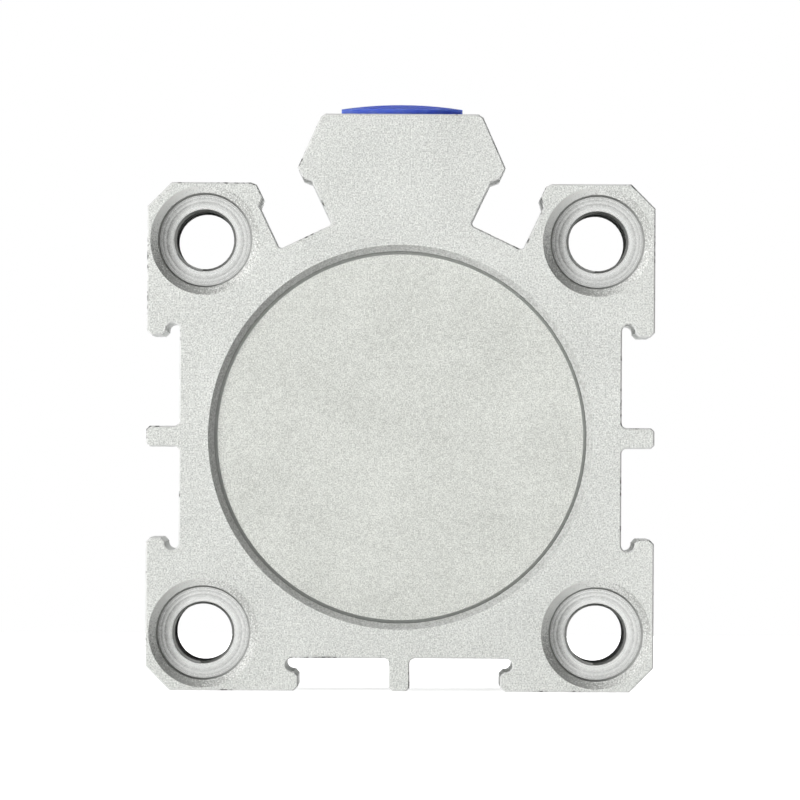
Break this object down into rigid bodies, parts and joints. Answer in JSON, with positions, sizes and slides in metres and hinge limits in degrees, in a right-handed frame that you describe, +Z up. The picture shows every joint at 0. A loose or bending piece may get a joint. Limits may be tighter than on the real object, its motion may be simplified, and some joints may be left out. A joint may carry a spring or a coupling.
{
  "type": "compact pneumatic cylinder",
  "caption": "Compact double-acting pneumatic cylinder: square extruded barrel with switch channels, raised port rail with plugged ports, staked head cover, short threaded rod.",
  "frame": {"origin": "on the bore axis, in the plane of the barrel's rear face", "axes": "+Y along the bore towards the rod end, +Z up through the port rail, +X to the right when looking at the rear face"},
  "size_m": [0.044, 0.0615, 0.0509],
  "materials": {
    "barrel_aluminium": "extruded and sawn, clear hard anodised, fine satin grain",
    "cover_aluminium": "turned and bead blasted, anodised, satin",
    "piston_aluminium": "turned, chromated",
    "rod_steel": "ground carbon steel, hard chrome plated",
    "ring_steel": "spring steel, phosphate coated",
    "nut_steel": "zinc plated",
    "seal_rubber": "black nitrile rubber",
    "bumper_rubber": "cast urethane",
    "bush_bronze": "sintered oil bronze",
    "magnet_rubber": "bonded ferrite",
    "wear_resin": "filled bearing resin",
    "plug_plastic": "moulded soft polyethylene, blue"
  },
  "bodies": {
    "housing": {"barrel": "barrel_aluminium", "head_cover": "cover_aluminium", "head_cover_o_ring": "seal_rubber", "head_bumper": "bumper_rubber", "rod_cover": "cover_aluminium", "rod_cover_o_ring": "seal_rubber", "rod_bumper": "bumper_rubber", "rod_bush": "bush_bronze", "rod_seal": "seal_rubber", "retaining_ring": "ring_steel"},
    "piston_rings": {"piston_seal": "seal_rubber", "wear_ring": "wear_resin"},
    "rod": {"piston_rod": "rod_steel", "piston_front": "piston_aluminium", "piston_rear": "piston_aluminium", "magnet_ring": "magnet_rubber", "piston_o_ring": "seal_rubber", "piston_nut": "nut_steel"},
    "head_plug": {"head_port_plug": "plug_plastic"},
    "rod_plug": {"rod_port_plug": "plug_plastic"}
  },
  "joints": [
    {"name": "rod_slide", "type": "slide", "parent": "housing", "child": "piston_rings", "axis": [0, 1, 0], "range_m": [0, 0.02]},
    {"name": "rod_turn", "type": "hinge", "parent": "piston_rings", "child": "rod", "pos_m": [0, 0.0145, 0], "axis": [0, 1, 0], "continuous": true},
    {"name": "head_plug_pull", "type": "slide", "parent": "housing", "child": "head_plug", "axis": [0, 0, 1], "range_m": [0, 0.015]},
    {"name": "rod_plug_pull", "type": "slide", "parent": "housing", "child": "rod_plug", "axis": [0, 0, 1], "range_m": [0, 0.015]}
  ]
}
